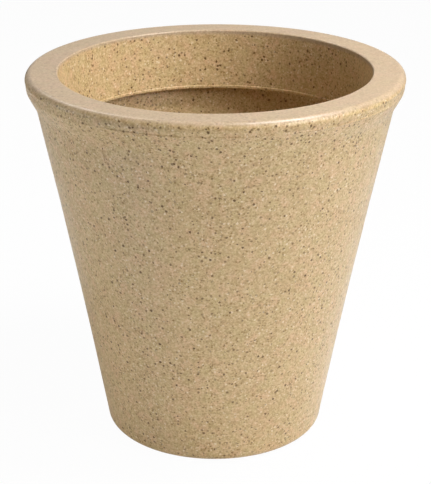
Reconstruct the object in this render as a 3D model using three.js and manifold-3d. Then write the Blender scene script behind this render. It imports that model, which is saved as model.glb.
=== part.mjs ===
// Cone planter: a hollow moulded tub with a broad flat rim and an inner skirt,
// standing on a foot ring, with a rubber plug in each drain hole of its base.
// Millimetres, +Z up, origin on the floor under the middle of the base. The tub is round about Z.
import * as THREE from 'three';
import { mergeVertices } from 'three/addons/utils/BufferGeometryUtils.js';
import Module from 'manifold-3d';

const wasm = await Module();
wasm.setup();

// Tub as a whole
const HEIGHT = 457;
const RIM_DIAMETER = 450; // at the widest, where the face meets the rounding above it
const BASE_DIAMETER = 267; // where the wall's line meets the floor
const SKIN = 4;

// Rim, from its outer face over the flat top to the mouth
const RIM_WIDTH = 38.5;
const RIM_CORNER_RADIUS = 8;
const RIM_MOUTH_RADIUS = 2; // rounding of the edge round the mouth
const RIM_FACE_HEIGHT = 19.5;
const RIM_FACE_DRAFT = 1;
const RIM_EDGE_RADIUS = 4; // rounding of the face's lower edge

// Undercut between the rim's face and the wall
const UNDERCUT_DEPTH = 11;
const UNDERCUT_HEIGHT = 19.5;
const COVE_RADIUS = 42;

// Wall, drawn in a little between rim and base
const WALL_BOW = 1.7;
const BOWED_SHARE = 0.9; // of the wall's length, with straight ends

// Skirt inside the mouth, whose trimmed lip stands out a little towards the axis
const SKIRT_DEPTH = 73; // down to the lip's upper side
const SKIRT_TAPER = 3;
const LIP_WIDTH = 1;

// Base: a foot ring round a raised panel
const BASE_CORNER_RADIUS = 13;
const FOOT_WIDTH = 33; // from the wall's line to the panel's edge
const RECESS_DEPTH = 10;
const RECESS_FLARE = 5;
const RECESS_TOP_RADIUS = 4;
const RECESS_FOOT_RADIUS = 5;

// Drain holes and their plugs
const DRAIN_COUNT = 4;
const DRAIN_EDGE_DISTANCE = 35; // from the panel's edge to a hole's centre
const PLUG_DIAMETER = 20;
const PLUG_CLEARANCE = 0.3; // round the stem, and between flange and panel
const PLUG_STANDOUT = 4; // above the floor inside the tub
const PLUG_TIP_CHAMFER = 1.5;
const FLANGE_OVERLAP = 5; // how far the flange reaches past the stem
const FLANGE_THICKNESS = 3.5;
const FLANGE_EDGE_RADIUS = 1.2;
const DISH_DEPTH = 1.2;
const DISH_MARGIN = 3.5; // from the flange's edge to the dish's
const DISH_SLOPE = 0.6;
const TAB_LENGTH = 15;
const TAB_THICKNESS = 3;
const TAB_DROP = 2.2; // below the flange
const TAB_SINK = 0.8; // into the rubber above the dish, where the two join

// Fineness of round shapes
const TUB_SEGMENTS = 64;
const SMALL_SEGMENTS = 24;
const TAB_CORNER_STEPS = 4;
const ARC_TOLERANCE = 0.2;
const CUT_OVERSHOOT = 2;

const rimRadius = RIM_DIAMETER / 2;
const mouthRadius = rimRadius - RIM_WIDTH;
const baseRadius = BASE_DIAMETER / 2;
const panelRadius = baseRadius - FOOT_WIDTH;
const drainCircleRadius = panelRadius - DRAIN_EDGE_DISTANCE;
const stemRadius = PLUG_DIAMETER / 2;
const holeRadius = stemRadius + PLUG_CLEARANCE;

const sandstone = { color: 0xc8ab83, roughness: 0.42, metalness: 0 };
const blackRubber = { color: 0x2a2927, roughness: 0.8, metalness: 0 };

// Outlines in the plane of radius (x) and height (y)

function corner(radius, height, rounding = 0) {
  return { at: new THREE.Vector2(radius, height), rounding };
}

function direction(from, to) {
  return to.at.clone().sub(from.at).normalize();
}

function leftOf(way) {
  return new THREE.Vector2(-way.y, way.x);
}

// Angle turned at a corner, positive to the left
function turnAt(before, here, after) {
  const incoming = direction(before, here);
  const outgoing = direction(here, after);
  return Math.atan2(incoming.cross(outgoing), incoming.dot(outgoing));
}

function arcSteps(radius, turn) {
  const stepAngle = 2 * Math.acos(1 - Math.min(ARC_TOLERANCE / radius, 1));
  return Math.ceil(Math.abs(turn) / stepAngle);
}

// Points of the arc that rounds a corner, touching both of its sides
function roundedCorner(before, here, after) {
  const turn = turnAt(before, here, after);
  const side = Math.sign(turn);
  const incoming = direction(before, here);
  const tangent = here.rounding * Math.tan(Math.abs(turn) / 2);
  const start = here.at.clone().addScaledVector(incoming, -tangent);
  const centre = start.clone().addScaledVector(leftOf(incoming), side * here.rounding);
  const startAngle = start.clone().sub(centre).angle();
  const steps = arcSteps(here.rounding, turn);
  return Array.from({ length: steps + 1 }, (_, i) => {
    const angle = startAngle + (turn * i) / steps;
    return new THREE.Vector2(Math.cos(angle), Math.sin(angle)).multiplyScalar(here.rounding).add(centre);
  });
}

function outline(corners) {
  return corners.flatMap((here, i) =>
    here.rounding > 0 ? roundedCorner(corners[i - 1], here, corners[i + 1]) : [here.at],
  );
}

// The same corners moved to the left by a distance, so that each side stays parallel to itself
function shiftedLeft(corners, distance) {
  return corners.map((here, i) => {
    const before = corners[i - 1];
    const after = corners[i + 1];
    const way = before ? direction(before, here) : direction(here, after);
    if (!before || !after) {
      return { at: here.at.clone().addScaledVector(leftOf(way), distance), rounding: 0 };
    }
    const turn = turnAt(before, here, after);
    const at = here.at
      .clone()
      .addScaledVector(leftOf(way), distance)
      .addScaledVector(way, -distance * Math.tan(turn / 2));
    const rounding = here.rounding > 0 ? Math.max(here.rounding - Math.sign(turn) * distance, 0) : 0;
    return { at, rounding };
  });
}

// Solids

function bareGeometry(geometry) {
  geometry.deleteAttribute('normal');
  geometry.deleteAttribute('uv');
  return mergeVertices(geometry);
}

// Corner numbers of the triangles that have three different corners
function trueTriangles(index) {
  const kept = [];
  for (let i = 0; i < index.length; i += 3) {
    const [a, b, c] = index.subarray(i, i + 3);
    if (a !== b && b !== c && c !== a) {
      kept.push(a, b, c);
    }
  }
  return Uint32Array.from(kept);
}

function solidFrom(geometry) {
  const bare = bareGeometry(geometry);
  return new wasm.Manifold(
    new wasm.Mesh({
      numProp: 3,
      vertProperties: bare.attributes.position.array,
      triVerts: trueTriangles(bare.index.array),
    }),
  );
}

function geometryFrom(solid) {
  const mesh = solid.getMesh();
  const geometry = new THREE.BufferGeometry();
  geometry.setAttribute('position', new THREE.BufferAttribute(mesh.vertProperties, 3));
  geometry.setIndex(new THREE.BufferAttribute(mesh.triVerts, 1));
  geometry.computeVertexNormals();
  return geometry;
}

// Turns an outline, drawn with the solid on its left, about the Z axis
function turned(points, segments) {
  return new THREE.LatheGeometry(points, segments).rotateX(Math.PI / 2);
}

function drainAngle(index) {
  return ((index + 0.5) * 2 * Math.PI) / DRAIN_COUNT;
}

function drainPlace(index) {
  const angle = drainAngle(index);
  return new THREE.Vector3(Math.cos(angle), Math.sin(angle), 0).multiplyScalar(drainCircleRadius);
}

// Tub: one skin of even thickness, from the base's panel out and up over the rim to the lip

function tubOuterCorners() {
  const faceBottom = corner(rimRadius - RIM_FACE_DRAFT, HEIGHT - RIM_FACE_HEIGHT, RIM_EDGE_RADIUS);
  const faceLean = RIM_FACE_DRAFT / (RIM_FACE_HEIGHT - RIM_CORNER_RADIUS);
  const faceTop = corner(rimRadius + faceLean * RIM_CORNER_RADIUS, HEIGHT, RIM_CORNER_RADIUS);
  const wallTop = corner(
    faceBottom.at.x - UNDERCUT_DEPTH,
    faceBottom.at.y - UNDERCUT_HEIGHT,
    COVE_RADIUS,
  );
  const wallFoot = corner(baseRadius, 0, BASE_CORNER_RADIUS);
  const lipCornerRadius = mouthRadius - SKIRT_TAPER;
  const lipTop = HEIGHT - SKIRT_DEPTH;
  return [
    corner(0, RECESS_DEPTH),
    corner(panelRadius, RECESS_DEPTH, RECESS_TOP_RADIUS),
    corner(panelRadius + RECESS_FLARE, 0, RECESS_FOOT_RADIUS),
    wallFoot,
    wallMiddle(wallFoot, wallTop),
    wallTop,
    faceBottom,
    faceTop,
    corner(mouthRadius, HEIGHT, RIM_MOUTH_RADIUS),
    corner(lipCornerRadius, lipTop),
    corner(lipCornerRadius - LIP_WIDTH, lipTop),
  ];
}

// Corner halfway up the wall whose wide arc gives the wall its bow
function wallMiddle(foot, top) {
  const halfLength = foot.at.distanceTo(top.at) / 2;
  const inset = 2 * WALL_BOW;
  const at = foot.at.clone().lerp(top.at, 0.5).addScaledVector(leftOf(direction(foot, top)), inset);
  return { at, rounding: (BOWED_SHARE * halfLength ** 2) / inset };
}

function drainCutter(index) {
  const bottom = RECESS_DEPTH - CUT_OVERSHOOT;
  const top = RECESS_DEPTH + SKIN + CUT_OVERSHOOT;
  const points = [
    new THREE.Vector2(0, bottom),
    new THREE.Vector2(holeRadius, bottom),
    new THREE.Vector2(holeRadius, top),
    new THREE.Vector2(0, top),
  ];
  return solidFrom(turned(points, SMALL_SEGMENTS).translate(...drainPlace(index)));
}

function tubGeometry() {
  const outer = tubOuterCorners();
  const inner = shiftedLeft(outer, SKIN);
  const skin = solidFrom(turned([...outline(outer), ...outline(inner).reverse()], TUB_SEGMENTS));
  let tub = skin;
  for (let i = 0; i < DRAIN_COUNT; i += 1) {
    tub = tub.subtract(drainCutter(i));
  }
  return geometryFrom(tub);
}

// Plug: a stem in the hole, a dished flange under the panel and a tab to pull it out by.
// Its own origin is on its axis, at the flange's upper face.

function plugTurnedPart() {
  const flangeRadius = stemRadius + FLANGE_OVERLAP;
  const dishRadius = flangeRadius - DISH_MARGIN;
  const stemTop = PLUG_CLEARANCE + SKIN + PLUG_STANDOUT;
  const corners = [
    corner(0, DISH_DEPTH - FLANGE_THICKNESS),
    corner(dishRadius - DISH_SLOPE * DISH_DEPTH, DISH_DEPTH - FLANGE_THICKNESS),
    corner(dishRadius, -FLANGE_THICKNESS),
    corner(flangeRadius, -FLANGE_THICKNESS, FLANGE_EDGE_RADIUS),
    corner(flangeRadius, 0, FLANGE_EDGE_RADIUS),
    corner(stemRadius, 0),
    corner(stemRadius, stemTop - PLUG_TIP_CHAMFER),
    corner(stemRadius - PLUG_TIP_CHAMFER, stemTop),
    corner(0, stemTop),
  ];
  return solidFrom(turned(outline(corners), SMALL_SEGMENTS));
}

// A flat tab across the dish, rounded at its two lower corners
function plugTab() {
  const half = TAB_LENGTH / 2;
  const top = DISH_DEPTH - FLANGE_THICKNESS + TAB_SINK;
  const bottom = -FLANGE_THICKNESS - TAB_DROP;
  const rounding = TAB_DROP;
  const shape = new THREE.Shape();
  shape.moveTo(-half, top);
  shape.lineTo(-half, bottom + rounding);
  shape.absarc(-half + rounding, bottom + rounding, rounding, Math.PI, 1.5 * Math.PI);
  shape.absarc(half - rounding, bottom + rounding, rounding, 1.5 * Math.PI, 2 * Math.PI);
  shape.lineTo(half, top);
  shape.closePath();
  const tab = new THREE.ExtrudeGeometry(shape, {
    depth: TAB_THICKNESS,
    bevelEnabled: false,
    curveSegments: TAB_CORNER_STEPS,
  });
  return solidFrom(tab.translate(0, 0, -TAB_THICKNESS / 2).rotateX(Math.PI / 2));
}

function namedMesh(name, geometry, look) {
  const mesh = new THREE.Mesh(geometry, new THREE.MeshStandardMaterial(look));
  mesh.name = name;
  return mesh;
}

const planter = new THREE.Group();
planter.add(namedMesh('planter_shell', tubGeometry(), sandstone));

const plugGeometry = geometryFrom(plugTurnedPart().add(plugTab()));
for (let i = 0; i < DRAIN_COUNT; i += 1) {
  const plug = namedMesh(`drain_plug_${i + 1}`, plugGeometry, blackRubber);
  plug.position.copy(drainPlace(i)).setZ(RECESS_DEPTH - PLUG_CLEARANCE);
  planter.add(plug);
}

export default planter;
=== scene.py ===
"""Looks of a cone planter: a speckled stone-look tub and the rubber plugs in its base.

Metres, +Z up, origin on the floor under the middle of the base. The photograph looks along +Y.
"""
import math

import bmesh
import bpy
from mathutils import Matrix, Vector, noise


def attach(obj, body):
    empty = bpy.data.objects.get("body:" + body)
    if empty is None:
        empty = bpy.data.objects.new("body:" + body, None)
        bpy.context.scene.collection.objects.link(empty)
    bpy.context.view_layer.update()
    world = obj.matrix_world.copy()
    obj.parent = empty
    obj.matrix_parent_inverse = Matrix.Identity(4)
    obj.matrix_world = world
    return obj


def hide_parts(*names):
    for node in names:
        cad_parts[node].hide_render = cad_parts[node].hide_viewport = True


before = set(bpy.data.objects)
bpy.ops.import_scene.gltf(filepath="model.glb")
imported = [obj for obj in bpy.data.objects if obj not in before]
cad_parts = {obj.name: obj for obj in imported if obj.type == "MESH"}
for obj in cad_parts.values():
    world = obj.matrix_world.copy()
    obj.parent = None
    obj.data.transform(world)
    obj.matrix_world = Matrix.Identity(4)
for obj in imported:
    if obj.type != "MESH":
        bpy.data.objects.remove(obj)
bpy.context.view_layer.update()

MM = 0.001

# Tub, as in the solid model
HEIGHT = 457 * MM
RIM_RADIUS = 225 * MM
BASE_RADIUS = 133.5 * MM
SKIN = 4 * MM
RIM_WIDTH = 38.5 * MM
RIM_CORNER_RADIUS = 8 * MM
RIM_MOUTH_RADIUS = 2 * MM
RIM_FACE_HEIGHT = 19.5 * MM
RIM_FACE_DRAFT = 1 * MM
RIM_EDGE_RADIUS = 4 * MM
UNDERCUT_DEPTH = 11 * MM
UNDERCUT_HEIGHT = 19.5 * MM
COVE_RADIUS = 42 * MM
WALL_BOW = 1.7 * MM
BOWED_SHARE = 0.9
SKIRT_DEPTH = 73 * MM
SKIRT_TAPER = 3 * MM
LIP_WIDTH = 1 * MM
BASE_CORNER_RADIUS = 13 * MM
FOOT_WIDTH = 33 * MM
RECESS_DEPTH = 10 * MM
RECESS_FLARE = 5 * MM
RECESS_TOP_RADIUS = 4 * MM
RECESS_FOOT_RADIUS = 5 * MM

# Drain holes and plugs, as in the solid model
DRAIN_COUNT = 4
DRAIN_EDGE_DISTANCE = 35 * MM
STEM_RADIUS = 10 * MM
PLUG_CLEARANCE = 0.3 * MM
PLUG_STANDOUT = 4 * MM
FLANGE_RADIUS = 15 * MM
FLANGE_THICKNESS = 3.5 * MM
DISH_DEPTH = 1.2 * MM
DISH_RADIUS = 11.5 * MM
TAB_LENGTH = 15 * MM
TAB_THICKNESS = 3 * MM
TAB_DROP = 2.2 * MM

# Small edges of the holes and plugs
DRAIN_FLARE = 0.5 * MM
FLANGE_EDGE_RADIUS = 1.1 * MM
DISH_SLOPE = 0.7 * MM
DISH_FLOOR_RADIUS = 0.6 * MM
DISH_RIM_RADIUS = 0.4 * MM
STEM_ROOT_RADIUS = 0.3 * MM
STEM_CHAMFER = 1.5 * MM
STEM_EDGE_RADIUS = 0.8 * MM
TAB_ROOT = 0.9 * MM
TAB_EDGE_RADIUS = 1.1 * MM

# Sizes that follow from these
MOUTH_RADIUS = RIM_RADIUS - RIM_WIDTH
PANEL_RADIUS = BASE_RADIUS - FOOT_WIDTH
DRAIN_CIRCLE_RADIUS = PANEL_RADIUS - DRAIN_EDGE_DISTANCE

# Fineness of the meshes
TUB_SEGMENTS = 240
PLUG_SEGMENTS = 96
HOLE_SEGMENTS = 96
ARC_STEP = math.radians(9)
LEAST_ARC_STEPS = 4
TAB_EDGE_STEPS = 5
LONGEST_STEP = 11 * MM
PLUG_STEP = 2 * MM
EDGE_SUPPORT = 0.4 * MM
SHARP_ANGLE = math.radians(38)

# Curled face of the rim, its groove and mould line: depths from the rim's radius, drops from its top
CURL_DROP = 11.6 * MM
CURL_RADIUS = 10 * MM
GROOVE_DEPTH = 1.6 * MM
GROOVE_DROP = 14.8 * MM
GROOVE_RADIUS = 1.2 * MM
MOULD_LINE_DEPTH = 1.1 * MM
MOULD_LINE_DROP = 16.4 * MM
MOULD_LINE_RADIUS = 1.1 * MM
LEDGE_DEPTH = 3.1 * MM
LEDGE_DROP = 19 * MM
LEDGE_RADIUS = 6 * MM

# Fading of the groove and mould line away from the front
MOULD_LINE_AZIMUTH = math.radians(275)
MOULD_LINE_FADED_COSINE = 0.5
MOULD_LINE_WHOLE_COSINE = 0.95
LEAST_MOULD_LINE = 0.1
PLAIN_EDGE_SOFTNESS = 1.2 * MM
FACE_FOOT_BLEND = 4 * MM
FACE_TOP_BLEND = 2 * MM
FACE_REACH = 1.2 * LEDGE_DEPTH

# Roundings of the trimmed lip: in its upper corner, along its top and along its foot
LIP_CORNER_RADIUS = 0.25 * MM
LIP_TOP_RADIUS = 0.4 * MM
LIP_FOOT_RADIUS = 1.4 * MM

# Unevenness of the moulding
SAG_DEPTH = 3 * MM
SAG_AZIMUTH = math.radians(225)
SAG_START = 0.6 * HEIGHT
WAVE_DEPTH = 0.35 * MM
WAVE_LENGTH = 95 * MM
WAVE_MARGIN = 25 * MM
TRIM_DEPTH = 0.45 * MM
TRIM_LENGTH = 14 * MM
TRIM_REACH = 2.5 * MM
TRIM_HEIGHT = 2 * SKIN
FINE_TRIM_SHARE = 0.4
FINE_TRIM_SCALE = 3.1

# Stone look: tones
SAND = (0.60, 0.428, 0.222, 1)
LIGHT_SAND = (0.64, 0.464, 0.245, 1)
ROSY_SAND = (0.685, 0.444, 0.26, 1)
OLIVE_SAND = (0.585, 0.459, 0.222, 1)
BROWN_SAND = (0.37, 0.235, 0.09, 1)
PALE_SAND = (0.79, 0.64, 0.415, 1)
PAINTED_RIM_SHEEN_TONE = (0.40, 0.31, 0.25, 1)

# Stone look: sizes of the patterns
CLOUD_SIZE = 46 * MM
TINT_SIZE = 14 * MM
GRAIN_SIZE = 5 * MM
SAND_SIZE = 2.4 * MM
CROWD_SIZE = 38 * MM
RAGGED_SIZE = 1.8 * MM
SHEEN_SIZE = 18 * MM
PEBBLE_SIZE = 3.2 * MM

# Stone look: noise values over which the patterns come in
CLOUD_SPAN = (0.3, 0.7)
ROSY_SPAN = (0.5, 0.7)
OLIVE_SPAN = (0.3, 0.5)
GRAIN_SPAN = (0.3, 0.6)
BROWN_SPAN = (0.32, 0.5)
PALE_SPAN = (0.5, 0.72)
CROWD_SPAN = (0.35, 0.65)
SHEEN_SPAN = (0.3, 0.7)

# Stone look: strengths of the patterns
TINT_STRENGTH = 0.6
GRAIN_STRENGTH = 0.5
BROWN_STRENGTH = 0.55
PALE_STRENGTH = 0.6
CROWDING = 0.35
RAGGED_PUSH = 2.2 * MM
SATIN_ROUGHNESS = (0.3, 0.4)
PEBBLE_DEPTH = 0.12 * MM
PEBBLE_STRENGTH = 0.35

# Specks: cell, radius, share of cells, the same just under the rim, strength and colour
SPECKS = (
    (4.6 * MM, 1.35 * MM, 0.5, 0.45, 0.85, (0.80, 0.68, 0.48, 1)),
    (3.4 * MM, 1.25 * MM, 0.52, 0.68, 0.78, (0.25, 0.13, 0.018, 1)),
    (5.0 * MM, 1.55 * MM, 0.54, 0.85, 0.95, (0.11, 0.045, 0.003, 1)),
)
SPECK_PATTERN_SHIFT = (1, -2, 3)
SMALLEST_SPECK = 0.6
LARGEST_SPECK = 1.15
SPECK_EDGE_OUTSIDE = 0.12
SPECK_EDGE_INSIDE = 0.3
FAINTEST_SPECK = 0.4
SPECKLED_FROM = 0.8 * HEIGHT
SPECKLED_BY = 0.9 * HEIGHT
OUTSIDE_FROM = MOUTH_RADIUS + 1 * MM
OUTSIDE_BY = MOUTH_RADIUS + 5 * MM

# Top of the rim: paler, greyer and less speckled than the rest, a painted sheen that stands in for the
# glancing gloss washing out its colour and grain
RIM_SHEEN_FROM = HEIGHT - 8 * MM
RIM_SHEEN_BY = HEIGHT - 3.5 * MM
PAINTED_RIM_SHEEN_SHARE = 0.5
RIM_SHEEN_SPECK_STRENGTH = 0.5

# Rubber look
BLACK_RUBBER = (0.018, 0.018, 0.017, 1)
GREY_RUBBER = (0.042, 0.04, 0.037, 1)
RUBBER_DUST = (0.12, 0.11, 0.095, 1)
BLOOM_SIZE = 7 * MM
BLOOM_SPAN = (0.35, 0.7)
DUST_SIZE = 0.9 * MM
DUST_SPAN = (0.58, 0.75)
DUST_STRENGTH = 0.5
MATT_SPAN = (0.3, 0.7)
MATT_ROUGHNESS = (0.62, 0.82)
RUBBER_GRAIN_DEPTH = 0.08 * MM
RUBBER_GRAIN_STRENGTH = 0.3

# Light: name, degrees to the right of the camera, degrees up, distance and diameter in metres, watts
LAMPS = (
    ("side_key", 55, 28, 2.6, 1.5, 42),
    ("high_key", 80, 70, 2.6, 1.2, 8),
    ("near_key", 76, 67, 1.5, 0.7, 19),
    ("back", -150, 48, 2.6, 1.1, 12),
    ("left_fill", -90, 8, 2.6, 1.6, 12),
    ("low_fill", -58, -20, 2.6, 1.8, 20),
    ("under_fill", 0, -80, 2.6, 1.8, 3),
)

# Floor and surroundings, as they are seen and as the gloss mirrors them
WHITE = (1, 1, 1, 1)
FLOOR_HALF_WIDTH = 7.0
FLOOR_PAINT = (0.88, 0.88, 0.88, 1)
SEEN_WHITENING = 0.97
MIRRORED_WHITENING = 0.05
HORIZON_MIRRORED = 0.38
ZENITH_MIRRORED = 0.05
MIRRORED_SPAN = (0.4, 0.6)


# Outlines in the plane of radius and height

def left_of(way):
    return Vector((-way.y, way.x))


def turn_at(before, here, after):
    incoming = (here - before).normalized()
    outgoing = (after - here).normalized()
    return math.atan2(incoming.cross(outgoing), incoming.dot(outgoing))


def rounded_corner(before, here, after, rounding):
    """Points of the arc that rounds a corner, with a supporting point just outside each end."""
    turn = turn_at(before, here, after)
    incoming = (here - before).normalized()
    outgoing = (after - here).normalized()
    tangent = rounding * math.tan(abs(turn) / 2)
    start = here - incoming * tangent
    end = here + outgoing * tangent
    centre = start + left_of(incoming) * math.copysign(rounding, turn)
    spoke = start - centre
    steps = max(LEAST_ARC_STEPS, math.ceil(abs(turn) / ARC_STEP))
    points = [centre + Matrix.Rotation(turn * i / steps, 2) @ spoke for i in range(steps + 1)]
    support = min(EDGE_SUPPORT, tangent / 2)
    return [start - incoming * support, *points, end + outgoing * support]


def outline(corners):
    points = []
    for i, (here, rounding) in enumerate(corners):
        if rounding > 0:
            points += rounded_corner(corners[i - 1][0], here, corners[i + 1][0], rounding)
        else:
            points.append(here)
    return points


def shifted_left(corners, distance):
    """The same corners moved to the left, so that each side stays parallel to itself."""
    shifted = []
    last = len(corners) - 1
    for i, (here, rounding) in enumerate(corners):
        before = corners[max(i - 1, 0)][0]
        after = corners[min(i + 1, last)][0]
        way = ((after - here) if i == 0 else (here - before)).normalized()
        moved = here + left_of(way) * distance
        if 0 < i < last:
            turn = turn_at(before, here, after)
            moved -= way * distance * math.tan(turn / 2)
            rounding = max(rounding - math.copysign(distance, turn), 0) if rounding > 0 else 0
        shifted.append((moved, rounding))
    return shifted


def refined(points, longest):
    """The outline with its long stretches divided."""
    fine = [points[0]]
    for a, b in zip(points, points[1:]):
        parts = max(1, math.ceil((b - a).length / longest))
        fine += [a.lerp(b, k / parts) for k in range(1, parts + 1)]
    return fine


# Meshes

def turned_mesh(name, points, segments):
    """Turns an outline that starts and ends on the Z axis, with the solid on its left."""
    angles = [2 * math.pi * i / segments for i in range(segments)]
    rings = points[1:-1]
    verts = [(0, 0, points[0].y)]
    verts += [(p.x * math.cos(a), p.x * math.sin(a), p.y) for p in rings for a in angles]
    verts.append((0, 0, points[-1].y))
    last = len(verts) - 1
    faces = []
    for i in range(segments):
        j = (i + 1) % segments
        faces.append((0, 1 + j, 1 + i))
        for k in range(len(rings) - 1):
            low = 1 + k * segments
            high = low + segments
            faces.append((low + i, low + j, high + j, high + i))
        top = 1 + (len(rings) - 1) * segments
        faces.append((top + i, top + j, last))
    mesh = bpy.data.meshes.new(name)
    mesh.from_pydata(verts, [], faces)
    mesh.validate()
    return mesh


def shown(name, mesh):
    piece = bpy.data.objects.new(name, mesh)
    bpy.context.scene.collection.objects.link(piece)
    return piece


def combine(piece, other, operation):
    """Cuts or joins two closed pieces and leaves the result in the first."""
    change = piece.modifiers.new("combine", "BOOLEAN")
    change.operation = operation
    change.solver = "EXACT"
    change.object = other
    graph = bpy.context.evaluated_depsgraph_get()
    result = bpy.data.meshes.new_from_object(piece.evaluated_get(graph))
    piece.modifiers.clear()
    piece.data = result
    bpy.data.objects.remove(other)


def smooth(piece):
    piece.data.shade_smooth()
    piece.data.set_sharp_from_angle(angle=SHARP_ANGLE)


# Tub

def face_bottom():
    return Vector((RIM_RADIUS - RIM_FACE_DRAFT, HEIGHT - RIM_FACE_HEIGHT))


def moulded_face():
    """Corners of the rim's face from the ledge under the mould line up."""
    return [
        (Vector((RIM_RADIUS - LEDGE_DEPTH, HEIGHT - LEDGE_DROP)), LEDGE_RADIUS),
        (Vector((RIM_RADIUS - MOULD_LINE_DEPTH, HEIGHT - MOULD_LINE_DROP)), MOULD_LINE_RADIUS),
        (Vector((RIM_RADIUS - GROOVE_DEPTH, HEIGHT - GROOVE_DROP)), GROOVE_RADIUS),
        (Vector((RIM_RADIUS, HEIGHT - CURL_DROP)), CURL_RADIUS),
    ]


def tub_corners(face, lip_rounding):
    """Corners and roundings of the tub's outer side, from its middle over the rim to the lip."""
    wall_foot = Vector((BASE_RADIUS, 0))
    wall_top = face_bottom() - Vector((UNDERCUT_DEPTH, UNDERCUT_HEIGHT))
    wall_way = (wall_top - wall_foot).normalized()
    half_wall = (wall_top - wall_foot).length / 2
    bowed_out = wall_foot.lerp(wall_top, 0.5) + left_of(wall_way) * 2 * WALL_BOW
    lip_corner = Vector((MOUTH_RADIUS - SKIRT_TAPER, HEIGHT - SKIRT_DEPTH))
    return [
        (Vector((0, RECESS_DEPTH)), 0),
        (Vector((PANEL_RADIUS, RECESS_DEPTH)), RECESS_TOP_RADIUS),
        (Vector((PANEL_RADIUS + RECESS_FLARE, 0)), RECESS_FOOT_RADIUS),
        (wall_foot, BASE_CORNER_RADIUS),
        (bowed_out, BOWED_SHARE * half_wall**2 / (2 * WALL_BOW)),
        (wall_top, COVE_RADIUS),
        *face,
        (Vector((RIM_RADIUS, HEIGHT)), RIM_CORNER_RADIUS),
        (Vector((MOUTH_RADIUS, HEIGHT)), RIM_MOUTH_RADIUS),
        (lip_corner, lip_rounding),
        (lip_corner - Vector((LIP_WIDTH, 0)), 0),
    ]


def drain_place(index):
    angle = (index + 0.5) * 2 * math.pi / DRAIN_COUNT
    return Vector((math.cos(angle), math.sin(angle), 0)) * DRAIN_CIRCLE_RADIUS


def drain_cutter():
    """Cylinders through the panel, flared at both faces as a deburred hole is."""
    radius = STEM_RADIUS + PLUG_CLEARANCE
    low = RECESS_DEPTH
    high = RECESS_DEPTH + SKIN
    profile = [
        Vector((0, low - DRAIN_FLARE)),
        Vector((radius + 2 * DRAIN_FLARE, low - DRAIN_FLARE)),
        Vector((radius, low + DRAIN_FLARE)),
        Vector((radius, high - DRAIN_FLARE)),
        Vector((radius + 2 * DRAIN_FLARE, high + DRAIN_FLARE)),
        Vector((0, high + DRAIN_FLARE)),
    ]
    cutters = bmesh.new()
    one = turned_mesh("drain_cutter", profile, HOLE_SEGMENTS)
    for i in range(DRAIN_COUNT):
        copy = one.copy()
        copy.transform(Matrix.Translation(drain_place(i)))
        cutters.from_mesh(copy)
        bpy.data.meshes.remove(copy)
    mesh = bpy.data.meshes.new("drain_cutters")
    cutters.to_mesh(mesh)
    cutters.free()
    return shown("drain_cutters", mesh)


def fade(value, start, end):
    """Goes smoothly from 0 at the start to 1 at the end."""
    share = min(max((value - start) / (end - start), 0), 1)
    return share * share * (3 - 2 * share)


def sag_at(place):
    """How far a point has sunk: a large thin moulding sags most on one side when it cools."""
    azimuth = math.atan2(place.y, place.x)
    share = (1 + math.cos(azimuth - SAG_AZIMUTH)) / 2
    return SAG_DEPTH * share * fade(place.z, SAG_START, HEIGHT - SKIRT_DEPTH)


def plain_face_radius(height):
    """Radius of the rim's face and undercut at a height, without the curl, groove and mould line."""
    edge = face_bottom()
    face = edge.x + RIM_FACE_DRAFT * (height - edge.y) / RIM_FACE_HEIGHT
    undercut = edge.x + UNDERCUT_DEPTH * (height - edge.y) / UNDERCUT_HEIGHT
    return (face + undercut - math.hypot(face - undercut, PLAIN_EDGE_SOFTNESS)) / 2


def evened_radius(radius, place):
    """Radius of a point once the groove and the mould line have faded out away from the front."""
    bottom = HEIGHT - RIM_FACE_HEIGHT - UNDERCUT_HEIGHT
    top = HEIGHT - RIM_CORNER_RADIUS
    if not bottom < place.z < top or radius < plain_face_radius(place.z) - FACE_REACH:
        return radius
    above_foot = fade(place.z, bottom, bottom + FACE_FOOT_BLEND)
    near = above_foot * (1 - fade(place.z, top - FACE_TOP_BLEND, top))
    front = math.cos(math.atan2(place.y, place.x) - MOULD_LINE_AZIMUTH)
    shown_share = fade(front, MOULD_LINE_FADED_COSINE, MOULD_LINE_WHOLE_COSINE)
    strength = LEAST_MOULD_LINE + (1 - LEAST_MOULD_LINE) * shown_share
    return radius + (plain_face_radius(place.z) - radius) * near * (1 - strength)


def scaled_aside(place, scale):
    """The point moved level, straight away from the axis or toward it."""
    return Vector((place.x * scale, place.y * scale, place.z))


def make_uneven(mesh):
    """Gives the wall its slow inward waves, the rim its sag and the lip its trimming marks."""
    lip_end = MOUTH_RADIUS - SKIRT_TAPER - LIP_WIDTH
    lip_top = HEIGHT - SKIRT_DEPTH
    wave_top = HEIGHT - RIM_FACE_HEIGHT
    for vert in mesh.vertices:
        place = vert.co
        radius = math.hypot(place.x, place.y)
        if radius > PANEL_RADIUS:
            span = fade(place.z, 0, WAVE_MARGIN) * (1 - fade(place.z, wave_top - WAVE_MARGIN, wave_top))
            wave = (noise.noise(place / WAVE_LENGTH) - 1) * WAVE_DEPTH / 2
            scale = (evened_radius(radius, place) + wave * span) / radius
            vert.co = scaled_aside(place, scale)
        if abs(place.z - lip_top) < TRIM_HEIGHT and radius < lip_end + TRIM_REACH:
            near = 1 - fade(radius, lip_end, lip_end + TRIM_REACH)
            around = Vector((place.x, place.y, 0)) / TRIM_LENGTH
            trim = noise.noise(around) + FINE_TRIM_SHARE * noise.noise(around * FINE_TRIM_SCALE)
            scale = 1 + near * trim * TRIM_DEPTH / radius
            vert.co = scaled_aside(place, scale)
        vert.co.z -= sag_at(vert.co)


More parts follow.
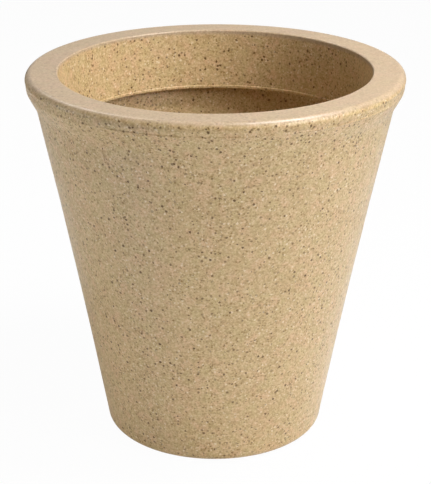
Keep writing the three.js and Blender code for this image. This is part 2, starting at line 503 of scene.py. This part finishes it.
def make_tub(material):
    outer = tub_corners(moulded_face(), LIP_CORNER_RADIUS)
    inner = shifted_left(tub_corners([(face_bottom(), RIM_EDGE_RADIUS)], 0), SKIN)
    lip_end = [(outer[-1][0], LIP_TOP_RADIUS), (inner[-1][0], LIP_FOOT_RADIUS)]
    profile = refined(outline([*outer[:-1], *lip_end, *inner[-2::-1]]), LONGEST_STEP)
    mesh = turned_mesh("tub", profile, TUB_SEGMENTS)
    make_uneven(mesh)
    tub = shown("tub", mesh)
    combine(tub, drain_cutter(), "DIFFERENCE")
    smooth(tub)
    tub.data.materials.clear()
    tub.data.materials.append(material)
    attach(tub, "body")
    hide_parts("planter_shell")


# Plugs

def plug_mesh():
    """A plug with its axis on Z and its flange's upper face at height 0."""
    dish_floor = DISH_DEPTH - FLANGE_THICKNESS
    stem_top = PLUG_CLEARANCE + SKIN + PLUG_STANDOUT
    corners = [
        (Vector((0, dish_floor)), 0),
        (Vector((DISH_RADIUS - DISH_SLOPE, dish_floor)), DISH_FLOOR_RADIUS),
        (Vector((DISH_RADIUS, -FLANGE_THICKNESS)), DISH_RIM_RADIUS),
        (Vector((FLANGE_RADIUS, -FLANGE_THICKNESS)), FLANGE_EDGE_RADIUS),
        (Vector((FLANGE_RADIUS, 0)), FLANGE_EDGE_RADIUS),
        (Vector((STEM_RADIUS, 0)), STEM_ROOT_RADIUS),
        (Vector((STEM_RADIUS, stem_top - STEM_CHAMFER)), STEM_EDGE_RADIUS),
        (Vector((STEM_RADIUS - STEM_CHAMFER, stem_top)), STEM_EDGE_RADIUS),
        (Vector((0, stem_top)), 0),
    ]
    return turned_mesh("plug", refined(outline(corners), PLUG_STEP), PLUG_SEGMENTS)


def tab_mesh():
    """The pull tab, a bar with round edges that reaches from inside the flange to below it."""
    top = DISH_DEPTH - FLANGE_THICKNESS + TAB_ROOT
    bottom = -FLANGE_THICKNESS - TAB_DROP
    bar = bmesh.new()
    bmesh.ops.create_cube(bar, size=1)
    bmesh.ops.scale(bar, vec=(TAB_LENGTH, TAB_THICKNESS, top - bottom), verts=bar.verts)
    bmesh.ops.translate(bar, vec=(0, 0, (top + bottom) / 2), verts=bar.verts)
    ends = [e for e in bar.edges if abs(e.verts[0].co.z - e.verts[1].co.z) > TAB_EDGE_RADIUS]
    lower = [e for e in bar.edges if max(v.co.z for v in e.verts) < -FLANGE_THICKNESS]
    bmesh.ops.bevel(
        bar,
        geom=ends + lower,
        offset=TAB_EDGE_RADIUS,
        segments=TAB_EDGE_STEPS,
        profile=0.5,
        affect="EDGES",
    )
    mesh = bpy.data.meshes.new("tab")
    bar.to_mesh(mesh)
    bar.free()
    return mesh


def make_plug(index, mesh, material):
    plug = shown(f"plug_{index + 1}", mesh.copy())
    place = drain_place(index)
    place.z = RECESS_DEPTH - PLUG_CLEARANCE
    plug.data.transform(Matrix.Translation(place))
    plug.data.materials.clear()
    plug.data.materials.append(material)
    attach(plug, f"plug_{index + 1}")
    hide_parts(f"drain_plug_{index + 1}")


def make_plugs(material):
    pattern = shown("plug_pattern", plug_mesh())
    combine(pattern, shown("tab", tab_mesh()), "UNION")
    smooth(pattern)
    for i in range(DRAIN_COUNT):
        make_plug(i, pattern.data, material)
    bpy.data.objects.remove(pattern)


# Materials

class Nodes:
    """A short way to add nodes to a tree and to wire them."""

    def __init__(self, tree):
        self.tree = tree
        tree.nodes.clear()

    def add(self, kind, values=None, **settings):
        node = self.tree.nodes.new(kind)
        for key, value in settings.items():
            setattr(node, key, value)
        for key, value in (values or {}).items():
            self.feed(node.inputs[key], value)
        return node

    def feed(self, socket, value):
        if isinstance(value, bpy.types.NodeSocket):
            self.tree.links.new(value, socket)
        else:
            socket.default_value = value

    def maths(self, operation, a, b=0.0):
        return self.add("ShaderNodeMath", {0: a, 1: b}, operation=operation).outputs[0]

    def vector_maths(self, operation, a, b):
        return self.add("ShaderNodeVectorMath", {0: a, 1: b}, operation=operation).outputs[0]

    def ramp(self, value, low, high, to_low=0.0, to_high=1.0):
        inputs = {"Value": value, "From Min": low, "From Max": high, "To Min": to_low, "To Max": to_high}
        return self.add("ShaderNodeMapRange", inputs, interpolation_type="SMOOTHSTEP").outputs["Result"]

    def mix_value(self, share, a, b):
        return self.add("ShaderNodeMix", {0: share, 2: a, 3: b}, data_type="FLOAT").outputs[0]

    def mix(self, share, a, b):
        node = self.add("ShaderNodeMix", data_type="RGBA")
        self.feed(node.inputs[0], share)
        self.feed(node.inputs[6], a)
        self.feed(node.inputs[7], b)
        return node.outputs[2]

    def noise(self, place, size, detail=2.0, roughness=0.5):
        inputs = {"Vector": place, "Scale": 1 / size, "Detail": detail, "Roughness": roughness}
        return self.add("ShaderNodeTexNoise", inputs)

    def bump(self, height, depth, strength):
        inputs = {"Strength": strength, "Distance": depth, "Height": height}
        return self.add("ShaderNodeBump", inputs).outputs["Normal"]


def specks(nodes, place, cell, radius, kept):
    """How far a surface point lies in a speck: some cells of a random pattern hold one speck each."""
    shift = [cell * count for count in SPECK_PATTERN_SHIFT]
    moved = nodes.vector_maths("ADD", place, shift)
    cells = nodes.add(
        "ShaderNodeTexVoronoi",
        {"Vector": moved, "Scale": 1 / cell, "Randomness": 1.0},
        feature="F1",
    )
    draws = nodes.add("ShaderNodeSeparateColor", {"Color": cells.outputs["Color"]}).outputs
    smallest = SMALLEST_SPECK * radius / cell
    largest = LARGEST_SPECK * radius / cell
    size = nodes.ramp(draws["Green"], 0.0, 1.0, smallest, largest)
    inside = nodes.maths("SUBTRACT", size, cells.outputs["Distance"])
    spot = nodes.ramp(inside, -SPECK_EDGE_OUTSIDE * radius / cell, SPECK_EDGE_INSIDE * radius / cell)
    chosen = nodes.maths("LESS_THAN", draws["Red"], kept)
    tone = nodes.ramp(draws["Blue"], 0.0, 1.0, FAINTEST_SPECK, 1.0)
    return nodes.maths("MULTIPLY", nodes.maths("MULTIPLY", spot, chosen), tone)


def stone_plastic():
    """Sandstone-coloured plastic with brown, dark and cream flecks, satin and very slightly pebbled,
    with a painted sheen on the rim top.
    """
    material = bpy.data.materials.new("stone_plastic")
    material.use_nodes = True
    nodes = Nodes(material.node_tree)
    place = nodes.add("ShaderNodeTexCoord").outputs["Object"]
    aside, behind, height = nodes.add("ShaderNodeSeparateXYZ", {"Vector": place}).outputs
    squares = nodes.maths("ADD", nodes.maths("POWER", aside, 2), nodes.maths("POWER", behind, 2))
    outside = nodes.ramp(nodes.maths("SQRT", squares), OUTSIDE_FROM, OUTSIDE_BY)
    # Painted sheen: a mask for the rim top, where the glancing gloss is painted into the tone and the
    # specks
    painted_rim_sheen = nodes.ramp(height, RIM_SHEEN_FROM, RIM_SHEEN_BY)

    ragged = nodes.noise(place, RAGGED_SIZE).outputs["Color"]
    shift = nodes.vector_maths("SUBTRACT", ragged, (0.5, 0.5, 0.5))
    push = nodes.vector_maths("MULTIPLY", shift, (RAGGED_PUSH, RAGGED_PUSH, RAGGED_PUSH))
    ragged_place = nodes.vector_maths("ADD", place, push)

    clouds = nodes.noise(place, CLOUD_SIZE, detail=3.0).outputs["Fac"]
    tints = nodes.noise(place, TINT_SIZE, detail=1.0).outputs["Fac"]
    grain = nodes.noise(place, GRAIN_SIZE, detail=3.0, roughness=0.6).outputs["Fac"]
    sand = nodes.noise(place, SAND_SIZE, roughness=0.6).outputs["Fac"]
    colour = nodes.mix(nodes.ramp(clouds, *CLOUD_SPAN), SAND, LIGHT_SAND)
    colour = nodes.mix(nodes.ramp(tints, *ROSY_SPAN, 0.0, TINT_STRENGTH), colour, ROSY_SAND)
    colour = nodes.mix(nodes.ramp(tints, *OLIVE_SPAN, TINT_STRENGTH, 0.0), colour, OLIVE_SAND)
    colour = nodes.mix(nodes.ramp(grain, *GRAIN_SPAN, GRAIN_STRENGTH, 0.0), colour, BROWN_SAND)
    colour = nodes.mix(nodes.ramp(sand, *BROWN_SPAN, BROWN_STRENGTH, 0.0), colour, BROWN_SAND)
    colour = nodes.mix(nodes.ramp(sand, *PALE_SPAN, 0.0, PALE_STRENGTH), colour, PALE_SAND)

    # Painted sheen: the specks fade on the rim top
    sheen_faded_specks = nodes.mix_value(painted_rim_sheen, 1.0, RIM_SHEEN_SPECK_STRENGTH)
    crowding = nodes.noise(place, CROWD_SIZE).outputs["Fac"]
    crowded = nodes.ramp(crowding, *CROWD_SPAN, 1 - CROWDING, 1 + CROWDING)
    for cell, radius, kept, kept_high, strength, speck_colour in SPECKS:
        towards_rim = nodes.ramp(height, SPECKLED_FROM, SPECKLED_BY, kept, kept_high)
        share = nodes.maths("MULTIPLY", nodes.mix_value(outside, kept, towards_rim), crowded)
        inside = nodes.maths("MULTIPLY", specks(nodes, ragged_place, cell, radius, share), sheen_faded_specks)
        colour = nodes.mix(nodes.maths("MULTIPLY", inside, strength), colour, speck_colour)
    # Painted sheen: the rim top's tone is mixed toward a greyer, bluer sand
    colour = nodes.mix(nodes.maths("MULTIPLY", painted_rim_sheen, PAINTED_RIM_SHEEN_SHARE), colour, PAINTED_RIM_SHEEN_TONE)

    sheen = nodes.noise(place, SHEEN_SIZE, detail=3.0).outputs["Fac"]
    rough = nodes.ramp(sheen, *SHEEN_SPAN, *SATIN_ROUGHNESS)
    pebbles = nodes.noise(place, PEBBLE_SIZE).outputs["Fac"]
    bump = nodes.bump(pebbles, PEBBLE_DEPTH, PEBBLE_STRENGTH)
    shader = nodes.add(
        "ShaderNodeBsdfPrincipled",
        {"Base Color": colour, "Roughness": rough, "Normal": bump, "IOR": 1.5},
    )
    nodes.add("ShaderNodeOutputMaterial", {"Surface": shader.outputs["BSDF"]})
    return material


def plug_rubber():
    """Matt black rubber with a dusty bloom."""
    material = bpy.data.materials.new("plug_rubber")
    material.use_nodes = True
    nodes = Nodes(material.node_tree)
    place = nodes.add("ShaderNodeTexCoord").outputs["Object"]
    bloom = nodes.noise(place, BLOOM_SIZE, detail=4.0).outputs["Fac"]
    dust = nodes.noise(place, DUST_SIZE, detail=3.0).outputs["Fac"]
    colour = nodes.mix(nodes.ramp(bloom, *BLOOM_SPAN), BLACK_RUBBER, GREY_RUBBER)
    colour = nodes.mix(nodes.ramp(dust, *DUST_SPAN, 0.0, DUST_STRENGTH), colour, RUBBER_DUST)
    rough = nodes.ramp(bloom, *MATT_SPAN, *MATT_ROUGHNESS)
    bump = nodes.bump(dust, RUBBER_GRAIN_DEPTH, RUBBER_GRAIN_STRENGTH)
    shader = nodes.add(
        "ShaderNodeBsdfPrincipled",
        {"Base Color": colour, "Roughness": rough, "Normal": bump},
    )
    nodes.add("ShaderNodeOutputMaterial", {"Surface": shader.outputs["BSDF"]})
    return material


# Surroundings

def make_floor():
    """A white floor that keeps a soft shadow. It is clear from below and to the lamps under it."""
    half = FLOOR_HALF_WIDTH
    mesh = bpy.data.meshes.new("floor")
    corners = [(-half, -half, 0), (half, -half, 0), (half, half, 0), (-half, half, 0)]
    mesh.from_pydata(corners, [], [(0, 1, 2, 3)])
    floor = shown("floor", mesh)
    material = bpy.data.materials.new("floor")
    material.use_nodes = True
    nodes = Nodes(material.node_tree)
    paint = nodes.add("ShaderNodeBsdfDiffuse", {"Color": FLOOR_PAINT}).outputs[0]
    glow = nodes.add("ShaderNodeEmission", {"Color": WHITE, "Strength": 1.0}).outputs[0]
    path = nodes.add("ShaderNodeLightPath").outputs
    seen_share = nodes.maths("MULTIPLY", path["Is Camera Ray"], SEEN_WHITENING)
    mirrored_share = nodes.maths("MULTIPLY", path["Is Glossy Ray"], MIRRORED_WHITENING)
    whitening = nodes.maths("MAXIMUM", seen_share, mirrored_share)
    upper = nodes.add("ShaderNodeMixShader", {0: whitening, 1: paint, 2: glow}).outputs[0]
    clear = nodes.add("ShaderNodeBsdfTransparent").outputs[0]
    below = nodes.add("ShaderNodeNewGeometry").outputs["Backfacing"]
    cleared = nodes.maths("MAXIMUM", below, path["Is Shadow Ray"])
    surface = nodes.add("ShaderNodeMixShader", {0: cleared, 1: upper, 2: clear}).outputs[0]
    nodes.add("ShaderNodeOutputMaterial", {"Surface": surface})
    mesh.materials.append(material)


def make_world():
    """Surroundings that look white and that the gloss mirrors as grey. They light nothing else."""
    world = bpy.data.worlds.new("studio")
    world.use_nodes = True
    nodes = Nodes(world.node_tree)
    path = nodes.add("ShaderNodeLightPath").outputs
    way = nodes.add("ShaderNodeTexCoord").outputs["Generated"]
    height = nodes.add("ShaderNodeSeparateXYZ", {"Vector": way}).outputs["Z"]
    mirrored = nodes.ramp(height, *MIRRORED_SPAN, HORIZON_MIRRORED, ZENITH_MIRRORED)
    lighting = nodes.maths("MULTIPLY", path["Is Glossy Ray"], mirrored)
    seen = nodes.maths("MAXIMUM", path["Is Camera Ray"], path["Is Transmission Ray"])
    strength = nodes.maths("MAXIMUM", lighting, seen)
    light = nodes.add("ShaderNodeBackground", {"Color": WHITE, "Strength": strength}).outputs[0]
    nodes.add("ShaderNodeOutputWorld", {"Surface": light})
    bpy.context.scene.world = world


def make_lamp(name, azimuth, elevation, distance, size, power):
    """A soft round lamp. Azimuth counts from the photograph's camera toward the right."""
    target = Vector((0, 0, HEIGHT / 2))
    turn = math.radians(azimuth)
    rise = math.radians(elevation)
    way = Vector((math.sin(turn) * math.cos(rise), -math.cos(turn) * math.cos(rise), math.sin(rise)))
    lamp = bpy.data.lights.new(name, "AREA")
    lamp.shape = "DISK"
    lamp.size = size
    lamp.energy = power
    light = bpy.data.objects.new(name, lamp)
    light.location = target + way * distance
    light.rotation_euler = way.to_track_quat("Z", "Y").to_euler()
    bpy.context.scene.collection.objects.link(light)


def make_camera():
    """The photograph's view. Its frame is 431 x 484, so the sensor's long side is the upright one."""
    frame_height = 484
    frame_width = 431
    focal_pixels = 1548
    axis_pixel = 214.8
    distance = 1914 * MM
    pitch = math.radians(21.24)
    roll = math.radians(0.2)
    aim_height = 233.9 * MM
    sensor_width = 36
    camera = bpy.data.cameras.new("camera")
    camera.sensor_width = sensor_width
    camera.lens = focal_pixels / frame_height * sensor_width
    aside = (frame_width / 2 - axis_pixel) * distance / focal_pixels
    aim = Vector((aside, 0, aim_height))
    back = Vector((0, -math.cos(pitch), math.sin(pitch)))
    view = bpy.data.objects.new("camera", camera)
    view.location = aim + back * distance
    turn = back.to_track_quat("Z", "Y").to_matrix() @ Matrix.Rotation(roll, 3, "Z")
    view.rotation_euler = turn.to_euler()
    bpy.context.scene.collection.objects.link(view)
    bpy.context.scene.camera = view


make_camera()
make_tub(stone_plastic())
make_plugs(plug_rubber())
make_floor()
make_world()
for lamp_values in LAMPS:
    make_lamp(*lamp_values)
bpy.context.scene.view_settings.view_transform = "Standard"
